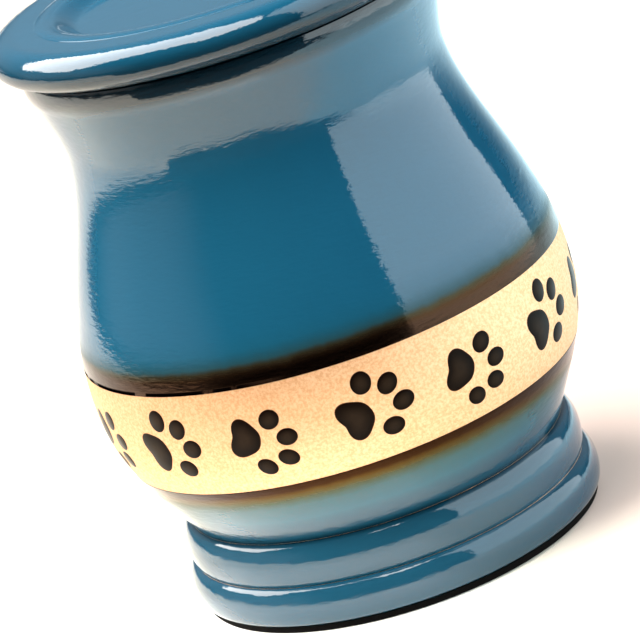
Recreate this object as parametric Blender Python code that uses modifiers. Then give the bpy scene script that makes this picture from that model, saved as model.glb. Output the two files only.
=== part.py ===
"""A small metal cremation urn: a turned, hollow body on a ringed foot, a lift-off lid and a felt base pad.

Metres, +Z up. Every piece is turned about Z, and the underside of the pad lies on Z = 0.
"""

import math

import bpy
import numpy as np

# Flat sides round the axis, and the gap kept between pieces that touch
SIDES = 48
SEAT_GAP = 0.0003

# Felt pad under the foot
PAD_THICKNESS = 0.0016
PAD_INSET = 0.0004

# Foot: two rounded rings, one above the other
LOWER_RING_HEIGHT = 0.0092
LOWER_RING_RADIUS = 0.0503
LOWER_RING_LIP = 0.0014
UPPER_RING_HEIGHT = 0.0104
UPPER_RING_RADIUS = 0.0487
GROOVE_DEPTH = 0.0011

# Body outline, from the waist above the rings to the rounded lip and the rim under the lid.
# A flare leans from upright, and a reach is how far the curve keeps to its direction.
WAIST_RADIUS = 0.0457
WAIST_FLARE = math.radians(28.6)
WAIST_REACH = 0.0191
BELLY_HEIGHT = 0.0358
BELLY_RADIUS = 0.0585
BELLY_LOWER_REACH = 0.0144
BELLY_UPPER_REACH = 0.0229
NECK_HEIGHT = 0.0575
NECK_RADIUS = 0.0454
NECK_LOWER_REACH = 0.0168
NECK_UPPER_REACH = 0.0035
RIM_HEIGHT = 0.0210
RIM_RADIUS = 0.0498
RIM_LEAN_IN = math.radians(9.0)
RIM_REACH = 0.0042
LIP_HEIGHT = 0.0066
LIP_SET_IN = 0.0011
LIP_FLARE = math.radians(21.0)
LIP_LOWER_REACH = 0.0035
LIP_UPPER_REACH = 0.0010

# Body wall and floor, and the collar that takes the lid's spigot
WALL = 0.0015
FLOOR_THICKNESS = 0.0020
RIM_THICKNESS = 0.0020
COLLAR_SET_IN = 0.0055
COLLAR_WALL = 0.0024
COLLAR_DEPTH = 0.0085

# Lid: a rounded edge, a flat ledge, a low roll and a shallow dish, with a spigot below
LID_OVERHANG = 0.0053
LID_EDGE_HEIGHT = 0.0093
LID_EDGE_WIDTH = 0.0061
LID_LEDGE_WIDTH = 0.0058
LID_SEAT_WIDTH = 0.0030
ROLL_WIDTH = 0.0040
ROLL_STEP = 0.0004
DISH_DEPTH = 0.0032
DISH_SLOPE_WIDTH = 0.0058
DISH_HOLLOW = 0.0004
LID_THICKNESS = 0.0022
SPIGOT_CLEARANCE = 0.0004
SPIGOT_WALL = 0.0022
SPIGOT_DEPTH = 0.0068

# Heights that follow from the sizes above
FOOT_LEVEL = PAD_THICKNESS + SEAT_GAP
GROOVE_LEVEL = FOOT_LEVEL + LOWER_RING_HEIGHT
WAIST_LEVEL = GROOVE_LEVEL + UPPER_RING_HEIGHT
BELLY_LEVEL = WAIST_LEVEL + BELLY_HEIGHT
NECK_LEVEL = BELLY_LEVEL + NECK_HEIGHT
RIM_LEVEL = NECK_LEVEL + RIM_HEIGHT
LIP_LEVEL = RIM_LEVEL - LIP_HEIGHT
FLOOR_LEVEL = FOOT_LEVEL + FLOOR_THICKNESS
LID_SEAT_LEVEL = RIM_LEVEL + SEAT_GAP
LEDGE_LEVEL = LID_SEAT_LEVEL + LID_EDGE_HEIGHT
ROLL_LEVEL = LEDGE_LEVEL + ROLL_STEP
DISH_LEVEL = ROLL_LEVEL - DISH_DEPTH

# Radii that follow from the sizes above
FOOT_RADIUS = LOWER_RING_RADIUS - LOWER_RING_LIP
MOUTH_RADIUS = NECK_RADIUS - WALL - COLLAR_SET_IN - COLLAR_WALL
SPIGOT_RADIUS = MOUTH_RADIUS - SPIGOT_CLEARANCE
LID_RADIUS = RIM_RADIUS + LID_OVERHANG
EDGE_CENTRE_RADIUS = LID_RADIUS - LID_EDGE_WIDTH
ROLL_RADIUS = EDGE_CENTRE_RADIUS - LID_LEDGE_WIDTH
DISH_RADIUS = ROLL_RADIUS - ROLL_WIDTH
DISH_FLOOR_RADIUS = DISH_RADIUS - DISH_SLOPE_WIDTH

# Points on each stretch of an outline
RING_UNDER_POINTS = 4
RING_OVER_POINTS = 7
BELLY_POINTS = 9
NECK_POINTS = 9
FLARE_POINTS = 5
LIP_POINTS = 6
FOOT_INSIDE_POINTS = 8
BODY_INSIDE_POINTS = 14
LID_EDGE_POINTS = 11
DISH_POINTS = 7

# Where along a ring's height it is widest
RING_WAY_UP = 0.45

BLUE = (0.022, 0.115, 0.200, 1.0)
BLACK = (0.012, 0.012, 0.013, 1.0)


def quarter_turn(start, end, points, leaves_upright):
    """A quarter of an ellipse from start to end, as radius and height, leaving upright or else level."""
    turn = np.linspace(0.0, math.pi / 2, points)
    slow, quick = 1 - np.cos(turn), np.sin(turn)
    outward, upward = (slow, quick) if leaves_upright else (quick, slow)
    radius = start[0] + (end[0] - start[0]) * outward
    height = start[1] + (end[1] - start[1]) * upward
    return np.column_stack([radius, height])


def swept_curve(start, start_pull, end_pull, end, points):
    """A cubic curve from start to end, drawn towards its two pulls."""
    t = np.linspace(0.0, 1.0, points)[:, None]
    start, start_pull, end_pull, end = (np.array(p) for p in (start, start_pull, end_pull, end))
    first_half = (1 - t) ** 3 * start + 3 * (1 - t) ** 2 * t * start_pull
    second_half = 3 * (1 - t) * t**2 * end_pull + t**3 * end
    return first_half + second_half


def along(point, direction, reach):
    """The point a reach away, where direction leans out from upright."""
    return (point[0] + reach * math.sin(direction), point[1] + reach * math.cos(direction))


def foot_outline():
    """The two rings, from the foot's lower edge up to the waist."""
    lower_edge = (FOOT_RADIUS, FOOT_LEVEL)
    lower_widest = (LOWER_RING_RADIUS, FOOT_LEVEL + RING_WAY_UP * LOWER_RING_HEIGHT)
    groove = (UPPER_RING_RADIUS - GROOVE_DEPTH, GROOVE_LEVEL)
    upper_widest = (UPPER_RING_RADIUS, GROOVE_LEVEL + RING_WAY_UP * UPPER_RING_HEIGHT)
    waist = (WAIST_RADIUS, WAIST_LEVEL)
    return np.vstack(
        [
            quarter_turn(lower_edge, lower_widest, RING_UNDER_POINTS, False),
            quarter_turn(lower_widest, groove, RING_OVER_POINTS, True)[1:],
            quarter_turn(groove, upper_widest, RING_UNDER_POINTS, False)[1:],
            quarter_turn(upper_widest, waist, RING_OVER_POINTS, True)[1:],
        ]
    )


def body_outline():
    """The whole outer side, from the foot's lower edge up to the rim."""
    waist = (WAIST_RADIUS, WAIST_LEVEL)
    belly = (BELLY_RADIUS, BELLY_LEVEL)
    neck = (NECK_RADIUS, NECK_LEVEL)
    lip = (RIM_RADIUS - LIP_SET_IN, LIP_LEVEL)
    rim = (RIM_RADIUS, RIM_LEVEL)
    waist_pull = along(waist, WAIST_FLARE, WAIST_REACH)
    below_belly, above_belly = along(belly, 0, -BELLY_LOWER_REACH), along(belly, 0, BELLY_UPPER_REACH)
    below_neck, above_neck = along(neck, 0, -NECK_LOWER_REACH), along(neck, 0, NECK_UPPER_REACH)
    below_lip, above_lip = along(lip, LIP_FLARE, -LIP_LOWER_REACH), along(lip, LIP_FLARE, LIP_UPPER_REACH)
    below_rim = along(rim, -RIM_LEAN_IN, -RIM_REACH)
    lower_belly = swept_curve(waist, waist_pull, below_belly, belly, BELLY_POINTS)
    shoulder = swept_curve(belly, above_belly, below_neck, neck, NECK_POINTS)
    flare = swept_curve(neck, above_neck, below_lip, lip, FLARE_POINTS)
    rounding = swept_curve(lip, above_lip, below_rim, rim, LIP_POINTS)
    return np.vstack([foot_outline(), lower_belly[1:], shoulder[1:], flare[1:], rounding[1:]])


def inner_radius(outline, heights):
    """Radius of the inner side, a wall's thickness in from the outline everywhere."""
    ways = np.linspace(-1.0, 1.0, 41)
    reached = heights[:, None] + WALL * ways[None, :]
    outer = np.interp(reached, outline[:, 1], outline[:, 0])
    return (outer - WALL * np.sqrt(1 - ways**2)[None, :]).min(axis=1)


def body_profile():
    """Down the outer side, from the middle of the floor inside to the middle of the foot's underside."""
    outline = body_outline()
    under_rim = RIM_LEVEL - RIM_THICKNESS
    foot_inside = np.linspace(FLOOR_LEVEL, WAIST_LEVEL + WALL, FOOT_INSIDE_POINTS)
    belly_inside = np.linspace(WAIST_LEVEL + WALL, under_rim, BODY_INSIDE_POINTS)
    heights = np.concatenate([foot_inside, belly_inside[1:]])
    inside = np.column_stack([inner_radius(outline, heights), heights])
    collar = [
        (MOUTH_RADIUS + COLLAR_WALL, under_rim),
        (MOUTH_RADIUS + COLLAR_WALL, RIM_LEVEL - COLLAR_DEPTH),
        (MOUTH_RADIUS, RIM_LEVEL - COLLAR_DEPTH),
        (MOUTH_RADIUS, RIM_LEVEL),
    ]
    return np.vstack([[(0.0, FLOOR_LEVEL)], inside, collar, outline[::-1], [(0.0, FOOT_LEVEL)]])


def lid_profile():
    """From the middle of the dish out to the lid's edge, then in along its underside and spigot."""
    way = np.linspace(0.0, 1.0, DISH_POINTS)
    slope = np.column_stack(
        [
            DISH_FLOOR_RADIUS + DISH_SLOPE_WIDTH * way,
            DISH_LEVEL + DISH_DEPTH * (3 * way**2 - 2 * way**3),
        ]
    )
    turn = np.linspace(math.pi / 2, -math.pi / 2, LID_EDGE_POINTS)
    edge = np.column_stack(
        [
            EDGE_CENTRE_RADIUS + LID_EDGE_WIDTH * np.cos(turn),
            LID_SEAT_LEVEL + LID_EDGE_HEIGHT / 2 * (1 + np.sin(turn)),
        ]
    )
    roll = [(ROLL_RADIUS - ROLL_STEP, ROLL_LEVEL), (ROLL_RADIUS, LEDGE_LEVEL)]
    under_ledge = [
        (EDGE_CENTRE_RADIUS - LID_SEAT_WIDTH, LID_SEAT_LEVEL),
        (EDGE_CENTRE_RADIUS - LID_SEAT_WIDTH, LEDGE_LEVEL - LID_THICKNESS),
        (DISH_RADIUS, LEDGE_LEVEL - LID_THICKNESS),
        (SPIGOT_RADIUS, DISH_LEVEL - LID_THICKNESS),
    ]
    spigot = [
        (SPIGOT_RADIUS, LID_SEAT_LEVEL - SPIGOT_DEPTH),
        (SPIGOT_RADIUS - SPIGOT_WALL, LID_SEAT_LEVEL - SPIGOT_DEPTH),
        (SPIGOT_RADIUS - SPIGOT_WALL, DISH_LEVEL - LID_THICKNESS),
        (0.0, DISH_LEVEL - DISH_HOLLOW - LID_THICKNESS),
    ]
    return np.vstack([[(0.0, DISH_LEVEL - DISH_HOLLOW)], slope, roll, edge, under_ledge, spigot])


def pad_profile():
    """A flat disc just inside the foot's lower edge."""
    radius = FOOT_RADIUS - PAD_INSET
    return np.array([(0.0, PAD_THICKNESS), (radius, PAD_THICKNESS), (radius, 0.0), (0.0, 0.0)])


def finish(name, colour, roughness, metallic):
    """A plain material of one colour."""
    material = bpy.data.materials.new(name)
    material.use_nodes = True
    shader = material.node_tree.nodes["Principled BSDF"]
    shader.inputs["Base Color"].default_value = colour
    shader.inputs["Roughness"].default_value = roughness
    shader.inputs["Metallic"].default_value = metallic
    return material


def turned(name, profile, material, collection):
    """A piece turned about Z from its profile of radius and height."""
    points = [(radius, 0.0, height) for radius, height in profile]
    steps = [(i, i + 1) for i in range(len(points) - 1)]
    mesh = bpy.data.meshes.new(name)
    mesh.from_pydata(points, steps, [])
    mesh.materials.append(material)
    piece = bpy.data.objects.new(name, mesh)
    collection.objects.link(piece)
    screw = piece.modifiers.new("Turn", "SCREW")
    screw.axis = "Z"
    screw.angle = math.tau
    screw.steps = SIDES
    screw.render_steps = SIDES
    screw.use_merge_vertices = True
    screw.merge_threshold = 0.00001
    screw.use_smooth_shade = True
    return piece


def main():
    for thing in list(bpy.data.objects):
        bpy.data.objects.remove(thing, do_unlink=True)
    urn = bpy.data.collections.new("cremation_urn")
    bpy.context.scene.collection.children.link(urn)
    enamel = finish("blue_enamel", BLUE, 0.08, 0.0)
    felt = finish("black_felt", BLACK, 0.95, 0.0)
    turned("urn_body", body_profile(), enamel, urn)
    turned("lid", lid_profile(), enamel, urn)
    turned("base_pad", pad_profile(), felt, urn)


main()
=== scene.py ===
import math

import bpy
import numpy as np
from mathutils import Matrix


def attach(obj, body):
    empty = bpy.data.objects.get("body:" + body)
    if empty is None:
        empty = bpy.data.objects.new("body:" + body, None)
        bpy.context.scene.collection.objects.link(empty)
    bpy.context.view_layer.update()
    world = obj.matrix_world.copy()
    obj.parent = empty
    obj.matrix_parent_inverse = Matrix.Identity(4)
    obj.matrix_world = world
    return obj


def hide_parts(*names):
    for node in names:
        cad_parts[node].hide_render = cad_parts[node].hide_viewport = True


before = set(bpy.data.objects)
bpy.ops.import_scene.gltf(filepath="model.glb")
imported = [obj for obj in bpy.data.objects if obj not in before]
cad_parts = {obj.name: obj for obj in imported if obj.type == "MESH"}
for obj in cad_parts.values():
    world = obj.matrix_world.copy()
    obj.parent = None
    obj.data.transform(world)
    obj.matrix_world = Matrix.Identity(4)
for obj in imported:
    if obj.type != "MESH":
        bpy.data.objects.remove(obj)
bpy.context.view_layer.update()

# A pet cremation urn: blue enamel over brass, with a bare band of paw prints, a lift-off lid and
# a felt pad. Metres, +Z up, everything turned about Z. A line is an outline as rows of radius and
# height, and a place on it is told by its length from the line's start. Bearings are counted from
# the side that faces -Y.
MM = 0.001

# The outline's main points and pulls, as in the solids
PAD_THICKNESS = 0.0016
FOOT_LEVEL = 0.0019
FOOT_RADIUS = 0.0489
LOWER_RING_HEIGHT = 0.0092
LOWER_RING_RADIUS = 0.0503
UPPER_RING_HEIGHT = 0.0104
UPPER_RING_RADIUS = 0.0487
GROOVE_DEPTH = 0.0011
RING_WAY_UP = 0.45
WAIST_RADIUS = 0.0457
WAIST_FLARE = math.radians(28.6)
WAIST_REACH = 0.0191
BELLY_LEVEL = 0.0573
BELLY_RADIUS = 0.0585
BELLY_LOWER_REACH = 0.0144
BELLY_UPPER_REACH = 0.0229
NECK_LEVEL = 0.1148
NECK_RADIUS = 0.0454
NECK_LOWER_REACH = 0.0168
NECK_UPPER_REACH = 0.0035
RIM_LEVEL = 0.1358
RIM_RADIUS = 0.0498
RIM_LEAN_IN = math.radians(9.0)
RIM_REACH = 0.0042
LIP_HEIGHT = 0.0066
LIP_SET_IN = 0.0011
LIP_FLARE = math.radians(21.0)
LIP_LOWER_REACH = 0.0035
LIP_UPPER_REACH = 0.0010
GROOVE_LEVEL = FOOT_LEVEL + LOWER_RING_HEIGHT
WAIST_LEVEL = GROOVE_LEVEL + UPPER_RING_HEIGHT

# Wall, collar and floor
WALL = 0.0015
FLOOR_THICKNESS = 0.0020
RIM_THICKNESS = 0.0020
COLLAR_WALL = 0.0024
COLLAR_DEPTH = 0.0085
MOUTH_RADIUS = 0.0360
FLOOR_CORNER = 0.0005

# The felt pad, under the foot
PAD_RADIUS = FOOT_RADIUS - 0.0004
PAD_EASE = 0.0003

# Lid
LID_SEAT_LEVEL = 0.1361
LID_EDGE_HEIGHT = 0.0093
LID_EDGE_WIDTH = 0.0061
EDGE_CENTRE_RADIUS = 0.0490
LID_SEAT_WIDTH = 0.0030
ROLL_RADIUS = 0.0432
ROLL_ROUNDING = 0.0004
ROLL_CROWN = 0.00025
DISH_RADIUS = 0.0392
DISH_FLOOR_RADIUS = 0.0334
DISH_DEPTH = 0.0032
DISH_HOLLOW = 0.0004
LID_THICKNESS = 0.0022
SPIGOT_RADIUS = 0.0356
SPIGOT_WALL = 0.0022
SPIGOT_DEPTH = 0.0068
STEP_POINTS = 8
LEDGE_LEVEL = LID_SEAT_LEVEL + LID_EDGE_HEIGHT
ROLL_LEVEL = LEDGE_LEVEL + ROLL_ROUNDING
DISH_LEVEL = ROLL_LEVEL - DISH_DEPTH

# The enamel's thickness, how far its inner face lies inside the brass, how far the brass is cut
# back at the body's two corners, and the rounding and inner radius of the enamel's two flat ends,
# under the lid and over the pad
COAT = 0.00008
COAT_KEY = 0.00004
BRASS_SET_IN = 0.0009
END_ROUNDING = 0.0004
RIM_END_RADIUS = 0.045
FOOT_END_RADIUS = 0.044

# The bare band between the enamel's two edges, which were masked by hand
BAND_LOW = 0.0391
BAND_HIGH = 0.0648
LOW_EDGE_LEAN = 0.00045
HIGH_EDGE_LEAN = -0.00025
LOW_EDGE_SEED = 4.1
HIGH_EDGE_SEED = 1.7
EDGE_WANDER = 0.00006
LEAN_FADES_OVER = 0.010
BAND_UNDER_COAT = 0.0012
BAND_THICKNESS = 0.0009
BRASS_UNDER_BAND = BAND_THICKNESS - 0.0002

# Paw prints: shapes and places in millimetres on the flattened band, with the toes pointing along
# +x. Heights and depths are in metres, and a dent's ramp is a share of the way to its middle
PRINTS = 14
FIRST_BEARING = math.radians(-1.3)
UP_TURN, UP_SCALE, UP_LEVEL = math.radians(20), 1.0, -6.2
DOWN_TURN, DOWN_SCALE, DOWN_LEVEL = math.radians(-20), 0.945, -4.4
TOES = (
    # distance and bearing from the pad's middle, half length, half width, turn
    (8.60, math.radians(46.5), 2.72, 2.42, math.radians(57)),
    (10.75, math.radians(12.5), 2.68, 2.25, math.radians(28)),
    (11.50, math.radians(-16.5), 2.70, 2.25, math.radians(0)),
    (8.95, math.radians(-50.0), 2.65, 2.28, math.radians(-17)),
)
PAD_SIZE = 4.40
PAD_WAVES = (0.10, -0.70, 0.53, -0.09, -0.08)
PRINT_LIP = 0.00002
PRINT_DOME = 0.00004
DENT_DEPTH = 0.00035
DENT_RAMP = 0.4
PRINT_BOTTOM = 0.0005

# How finely the surfaces are divided: sides round, rows, and steps in metres, and the angle from
# which an edge is sharp. A sparse enamel keeps every second row of its inner face, and all of the
# last ones
SIDES = 256
LID_SIDES = 384
COAT_SIDES = 360
FADE_ZONE = 0.012
FADE_STEP = 0.0003
COAT_STEP = 0.0007
EDGE_ROWS = 4
SPARSE_BY = 2
KEPT_ROWS = 12
BAND_SIDES = 980
BAND_ROWS = 74
BAND_BACK_BY = 8
BRASS_STEP = 0.0015
INSIDE_ROWS = 70
PRINT_SIDES = 56
PRINT_RINGS = 12
LEDGE_STEP = 0.0006
SHARP_FROM = math.radians(40.0)


def quarter_turn(start, end, points, leaves_upright):
    """A quarter of an ellipse between points: one axis goes with 1 - cos, the other with sin."""
    turn = np.linspace(0.0, math.pi / 2, points)
    slow, quick = 1 - np.cos(turn), np.sin(turn)
    outward, upward = (slow, quick) if leaves_upright else (quick, slow)
    radius = start[0] + (end[0] - start[0]) * outward
    height = start[1] + (end[1] - start[1]) * upward
    return np.column_stack([radius, height])


def swept_curve(start, start_pull, end_pull, end, points):
    """A cubic curve: the four points weighed by (1-t)^3, 3(1-t)^2 t, 3(1-t) t^2 and t^3."""
    t = np.linspace(0.0, 1.0, points)[:, None]
    start, start_pull, end_pull, end = (np.array(p) for p in (start, start_pull, end_pull, end))
    first_half = (1 - t) ** 3 * start + 3 * (1 - t) ** 2 * t * start_pull
    return first_half + 3 * (1 - t) * t**2 * end_pull + t**3 * end


def along(point, direction, reach):
    """The point a reach away, where direction leans out from upright."""
    return (point[0] + reach * math.sin(direction), point[1] + reach * math.cos(direction))


def joined(*lines):
    """Lines end to end, without a point that repeats the one before it."""
    line = np.vstack(lines)
    step = np.hypot(*np.diff(line, axis=0).T)
    return line[np.concatenate([[True], step > 1e-8])]


def lengths(line):
    """Each point's distance along the line from its start."""
    return np.concatenate([[0.0], np.cumsum(np.hypot(*np.diff(line, axis=0).T))])


def placed(line, length):
    """Radius, height and outward normal at lengths along a line that runs up, by linear steps."""
    known = lengths(line)
    slope = np.gradient(line, known, axis=0)
    slope /= np.hypot(slope[:, :1], slope[:, 1:])
    radius = np.interp(length, known, line[:, 0])
    height = np.interp(length, known, line[:, 1])
    out = np.interp(length, known, slope[:, 1])
    up = -np.interp(length, known, slope[:, 0])
    size = np.hypot(out, up)
    return radius, height, out / size, up / size


def spaced(line, step):
    """The line again, with its points about a step apart."""
    known = lengths(line)
    length = np.linspace(0.0, known[-1], max(2, int(round(known[-1] / step)) + 1))
    radius = np.interp(length, known, line[:, 0])
    height = np.interp(length, known, line[:, 1])
    return np.column_stack([radius, height])


def outer_line():
    """The body's outer side from the foot's lower edge up to the rim: ellipse quarters for the two
    foot rings, then cubic curves through the waist, the belly, the neck, the lip and the rim."""
    foot_edge = (FOOT_RADIUS, FOOT_LEVEL)
    lower_widest = (LOWER_RING_RADIUS, FOOT_LEVEL + RING_WAY_UP * LOWER_RING_HEIGHT)
    groove = (UPPER_RING_RADIUS - GROOVE_DEPTH, GROOVE_LEVEL)
    upper_widest = (UPPER_RING_RADIUS, GROOVE_LEVEL + RING_WAY_UP * UPPER_RING_HEIGHT)
    waist = (WAIST_RADIUS, WAIST_LEVEL)
    belly = (BELLY_RADIUS, BELLY_LEVEL)
    neck = (NECK_RADIUS, NECK_LEVEL)
    lip = (RIM_RADIUS - LIP_SET_IN, RIM_LEVEL - LIP_HEIGHT)
    rim = (RIM_RADIUS, RIM_LEVEL)
    above_waist = along(waist, WAIST_FLARE, WAIST_REACH)
    below_belly = along(belly, 0, -BELLY_LOWER_REACH)
    above_belly = along(belly, 0, BELLY_UPPER_REACH)
    below_neck = along(neck, 0, -NECK_LOWER_REACH)
    above_neck = along(neck, 0, NECK_UPPER_REACH)
    below_lip = along(lip, LIP_FLARE, -LIP_LOWER_REACH)
    above_lip = along(lip, LIP_FLARE, LIP_UPPER_REACH)
    below_rim = along(rim, -RIM_LEAN_IN, -RIM_REACH)
    return joined(
        quarter_turn(foot_edge, lower_widest, 40, False),
        quarter_turn(lower_widest, groove, 60, True),
        quarter_turn(groove, upper_widest, 40, False),
        quarter_turn(upper_widest, waist, 60, True),
        swept_curve(waist, above_waist, below_belly, belly, 300),
        swept_curve(belly, above_belly, below_neck, neck, 300),
        swept_curve(neck, above_neck, below_lip, lip, 100),
        swept_curve(lip, above_lip, below_rim, rim, 60),
    )


OUTER = outer_line()
OUTER_LENGTHS = lengths(OUTER)
LOW_LENGTH, HIGH_LENGTH, BELLY_LENGTH, WAIST_LENGTH = np.interp(
    [BAND_LOW, BAND_HIGH, BELLY_LEVEL, WAIST_LEVEL], OUTER[:, 1], OUTER_LENGTHS
)
FOOT_END_LENGTH, RIM_END_LENGTH = OUTER_LENGTHS[1], OUTER_LENGTHS[-2]


def turned(radius, height, bearing):
    """Points at a radius and height, turned about Z to a bearing from the side that faces -Y."""
    x, y = radius * np.sin(bearing), -radius * np.cos(bearing)
    return np.stack([x, y, height + 0 * bearing], axis=-1)


def grid_mesh(grid, first_pole=False, last_pole=False, rows_close=False, marks=None):
    """A shell from points[row, column], closed round the columns. A pole row shrinks to one point,
    and rows_close joins the last row to the first. Marks are numbers for each point."""
    rows, columns = grid.shape[:2]
    point = np.arange(rows * columns).reshape(rows, columns)
    low, high = (point, np.roll(point, -1, axis=0)) if rows_close else (point[:-1], point[1:])
    quads = np.stack([low, np.roll(low, -1, axis=1), np.roll(high, -1, axis=1), high], axis=-1)
    triangles = []
    if first_pole:
        triangles.append(np.stack([0 * quads[0, :, 0], quads[0, :, 2], quads[0, :, 3]], axis=-1))
        quads = quads[1:]
    if last_pole:
        pole = 0 * quads[-1, :, 0] + point[-1, 0]
        triangles.append(np.stack([quads[-1, :, 0], quads[-1, :, 1], pole], axis=-1))
        quads = quads[:-1]
    quads = quads.reshape(-1, 4)
    vertices = grid.reshape(-1, 3)
    used = np.ones(len(vertices), bool)
    if first_pole:
        used[point[0, 1:]] = False
    if last_pole:
        used[point[-1, 1:]] = False
    number = np.cumsum(used) - 1
    return vertices[used], number[quads], [number[t] for t in triangles], used, marks


def solid_volume(points, quads, triangles):
    """Six times the volume inside, summed over each face's triangles; below 0 if faces point in."""
    halves = [quads[:, [0, 1, 2]], quads[:, [0, 2, 3]], *triangles]
    corners = points[np.vstack(halves)]
    return np.einsum("ij,ij->i", corners[:, 0], np.cross(corners[:, 1], corners[:, 2])).sum()


def piece(name, shells, material):
    """An object from closed shells, each made to face outwards, with marks as point attributes."""
    points, faces, marks, count = [], [], {}, 0
    for vertices, quads, triangles, used, shell_marks in shells:
        flip = -1 if solid_volume(vertices, quads, triangles) < 0 else 1
        for group in [quads, *triangles]:
            faces.extend((group[:, ::flip] + count).tolist())
        for mark, values in (shell_marks or {}).items():
            marks.setdefault(mark, []).append(np.asarray(values).reshape(-1)[used])
        points.append(vertices)
        count += len(vertices)
    mesh = bpy.data.meshes.new(name)
    mesh.from_pydata(np.vstack(points).tolist(), [], faces)
    for mark, values in marks.items():
        stored = mesh.attributes.new(mark, "FLOAT", "POINT")
        stored.data.foreach_set("value", np.concatenate(values).astype(np.float32))
    mesh.polygons.foreach_set("use_smooth", np.ones(len(mesh.polygons), bool))
    mesh.set_sharp_from_angle(angle=SHARP_FROM)
    mesh.materials.append(material)
    mesh.update()
    made = bpy.data.objects.new(name, mesh)
    bpy.context.scene.collection.objects.link(made)
    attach(made, "root")
    return made


def turned_shell(line, sides=SIDES, marks=None):
    """A line of radius and height carried once round Z, with poles where it meets the axis."""
    bearing = np.linspace(0.0, math.tau, sides, endpoint=False)[None, :]
    grid = turned(line[:, :1], line[:, 1:], bearing)
    spread = {m: np.repeat(np.asarray(v)[:, None], sides, axis=1) for m, v in (marks or {}).items()}
    return grid_mesh(grid, line[0, 0] < 1e-9, line[-1, 0] < 1e-9, marks=spread)


def edge_shift(bearing, lean, seed):
    """How far a masked edge strays: a lean that goes with the sine of the bearing, and a wander
    of five sines of multiples of it, each as small as its multiple is large."""
    wander = sum(np.sin(k * bearing + seed * (k + 1)) / k for k in (3, 7, 11, 19, 31))
    return lean * np.sin(bearing) + EDGE_WANDER * wander


def coat_rows(near_edge, far_end):
    """Lengths from a masked edge to the far end, close together where the enamel's colour fades."""
    close = np.arange(0.0, FADE_ZONE, FADE_STEP)
    way = far_end - near_edge
    rest = np.linspace(FADE_ZONE, abs(way), max(2, int((abs(way) - FADE_ZONE) / COAT_STEP)))[1:]
    return near_edge + math.copysign(1.0, way) * np.concatenate([close, rest])


def coat_shell(edge_length, far_length, painted_shade_length, lean, seed, tail, sparse):
    """A skin of enamel on the outer line, from a masked edge to a far end and on along its tail.

    Its outer face follows the line, its edge is a quarter turn of the coat's thickness, and its
    inner face lies a little inside the brass, with fewer rows if it is sparse. Near the edge each
    row moves with the edge's lean and wander. from_edge marks each point's millimetres from the
    masked edge, and from_painted_shade those from the place where painted shade darkens the enamel."""
    bearing = np.linspace(0.0, math.tau, COAT_SIDES, endpoint=False)[None, :]
    way = math.copysign(1.0, far_length - edge_length)
    length = coat_rows(edge_length, far_length)[:, None]
    fade = np.clip(1 - abs(length - edge_length) / LEAN_FADES_OVER, 0, 1) ** 2
    shifted = length + fade * edge_shift(bearing, lean, seed)
    radius, height, out, up = placed(OUTER, shifted)
    turn = np.linspace(0.0, math.pi / 2, EDGE_ROWS + 1)[:-1, None]
    lip_in = COAT * (1 - np.sin(turn))
    lip_length = shifted[:1] - way * COAT * np.cos(turn)
    lip_radius, lip_height, lip_out, lip_up = placed(OUTER, lip_length)
    lip = turned(lip_radius - lip_in * lip_out, lip_height - lip_in * lip_up, bearing)
    outer = turned(radius, height, bearing)
    sunk = COAT + COAT_KEY
    some = np.arange(len(length))
    if sparse:
        some = np.concatenate([some[:-KEPT_ROWS:SPARSE_BY], some[-KEPT_ROWS:]])
    inner = turned(radius - sunk * out, height - sunk * up, bearing)[some]
    under_radius = lip_radius[:1] - sunk * lip_out[:1]
    under_height = lip_height[:1] - sunk * lip_up[:1]
    under_lip = turned(under_radius, under_height, bearing)
    tail_out = turned(tail[:, :1], tail[:, 1:], bearing)
    tail_in = turned(tail[:, :1], tail[:, 1:] - way * sunk, bearing)
    grid = np.concatenate([lip, outer, tail_out, tail_in[::-1], inner[::-1], under_lip])
    on_face = abs(length - edge_length) + 0 * bearing
    far = np.full((len(tail), bearing.size), abs(far_length - edge_length))
    near = np.zeros((len(lip), bearing.size))
    from_edge = np.concatenate([near, on_face, far, far, on_face[some][::-1], near[:1]]) / MM
    from_painted_shade = abs(from_edge - abs(painted_shade_length - edge_length) / MM)
    marks = {"from_edge": from_edge, "from_painted_shade": from_painted_shade}
    return grid_mesh(grid, rows_close=True, marks=marks)


def print_pose(number):
    """A print's bearing, length along the outline, turn and scale: by turns it leans up and down."""
    bearing = FIRST_BEARING + number * math.tau / PRINTS
    if number % 2 == 0:
        return bearing, BELLY_LENGTH + UP_LEVEL * MM, UP_TURN, UP_SCALE
    return bearing, BELLY_LENGTH + DOWN_LEVEL * MM, DOWN_TURN, DOWN_SCALE


def pad_reach(direction):
    """The heel pad's radius: its size and five cosine waves of the direction."""
    waves = sum(size * np.cos((k + 1) * direction) for k, size in enumerate(PAD_WAVES))
    return PAD_SIZE + waves


def toe_reach(direction, half_length, half_width, turn):
    """An ellipse's radius in a direction."""
    across = half_width * np.cos(direction - turn)
    upright = half_length * np.sin(direction - turn)
    return half_length * half_width / np.hypot(across, upright)


def print_parts():
    """Middle, and radius by direction, of the pad and of each toe."""
    parts = [((0.0, 0.0), pad_reach)]
    for distance, bearing, half_length, half_width, turn in TOES:
        middle = (distance * math.cos(bearing), distance * math.sin(bearing))
        parts.append((middle, lambda d, a=half_length, b=half_width, t=turn: toe_reach(d, a, b, t)))
    return parts


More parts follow.
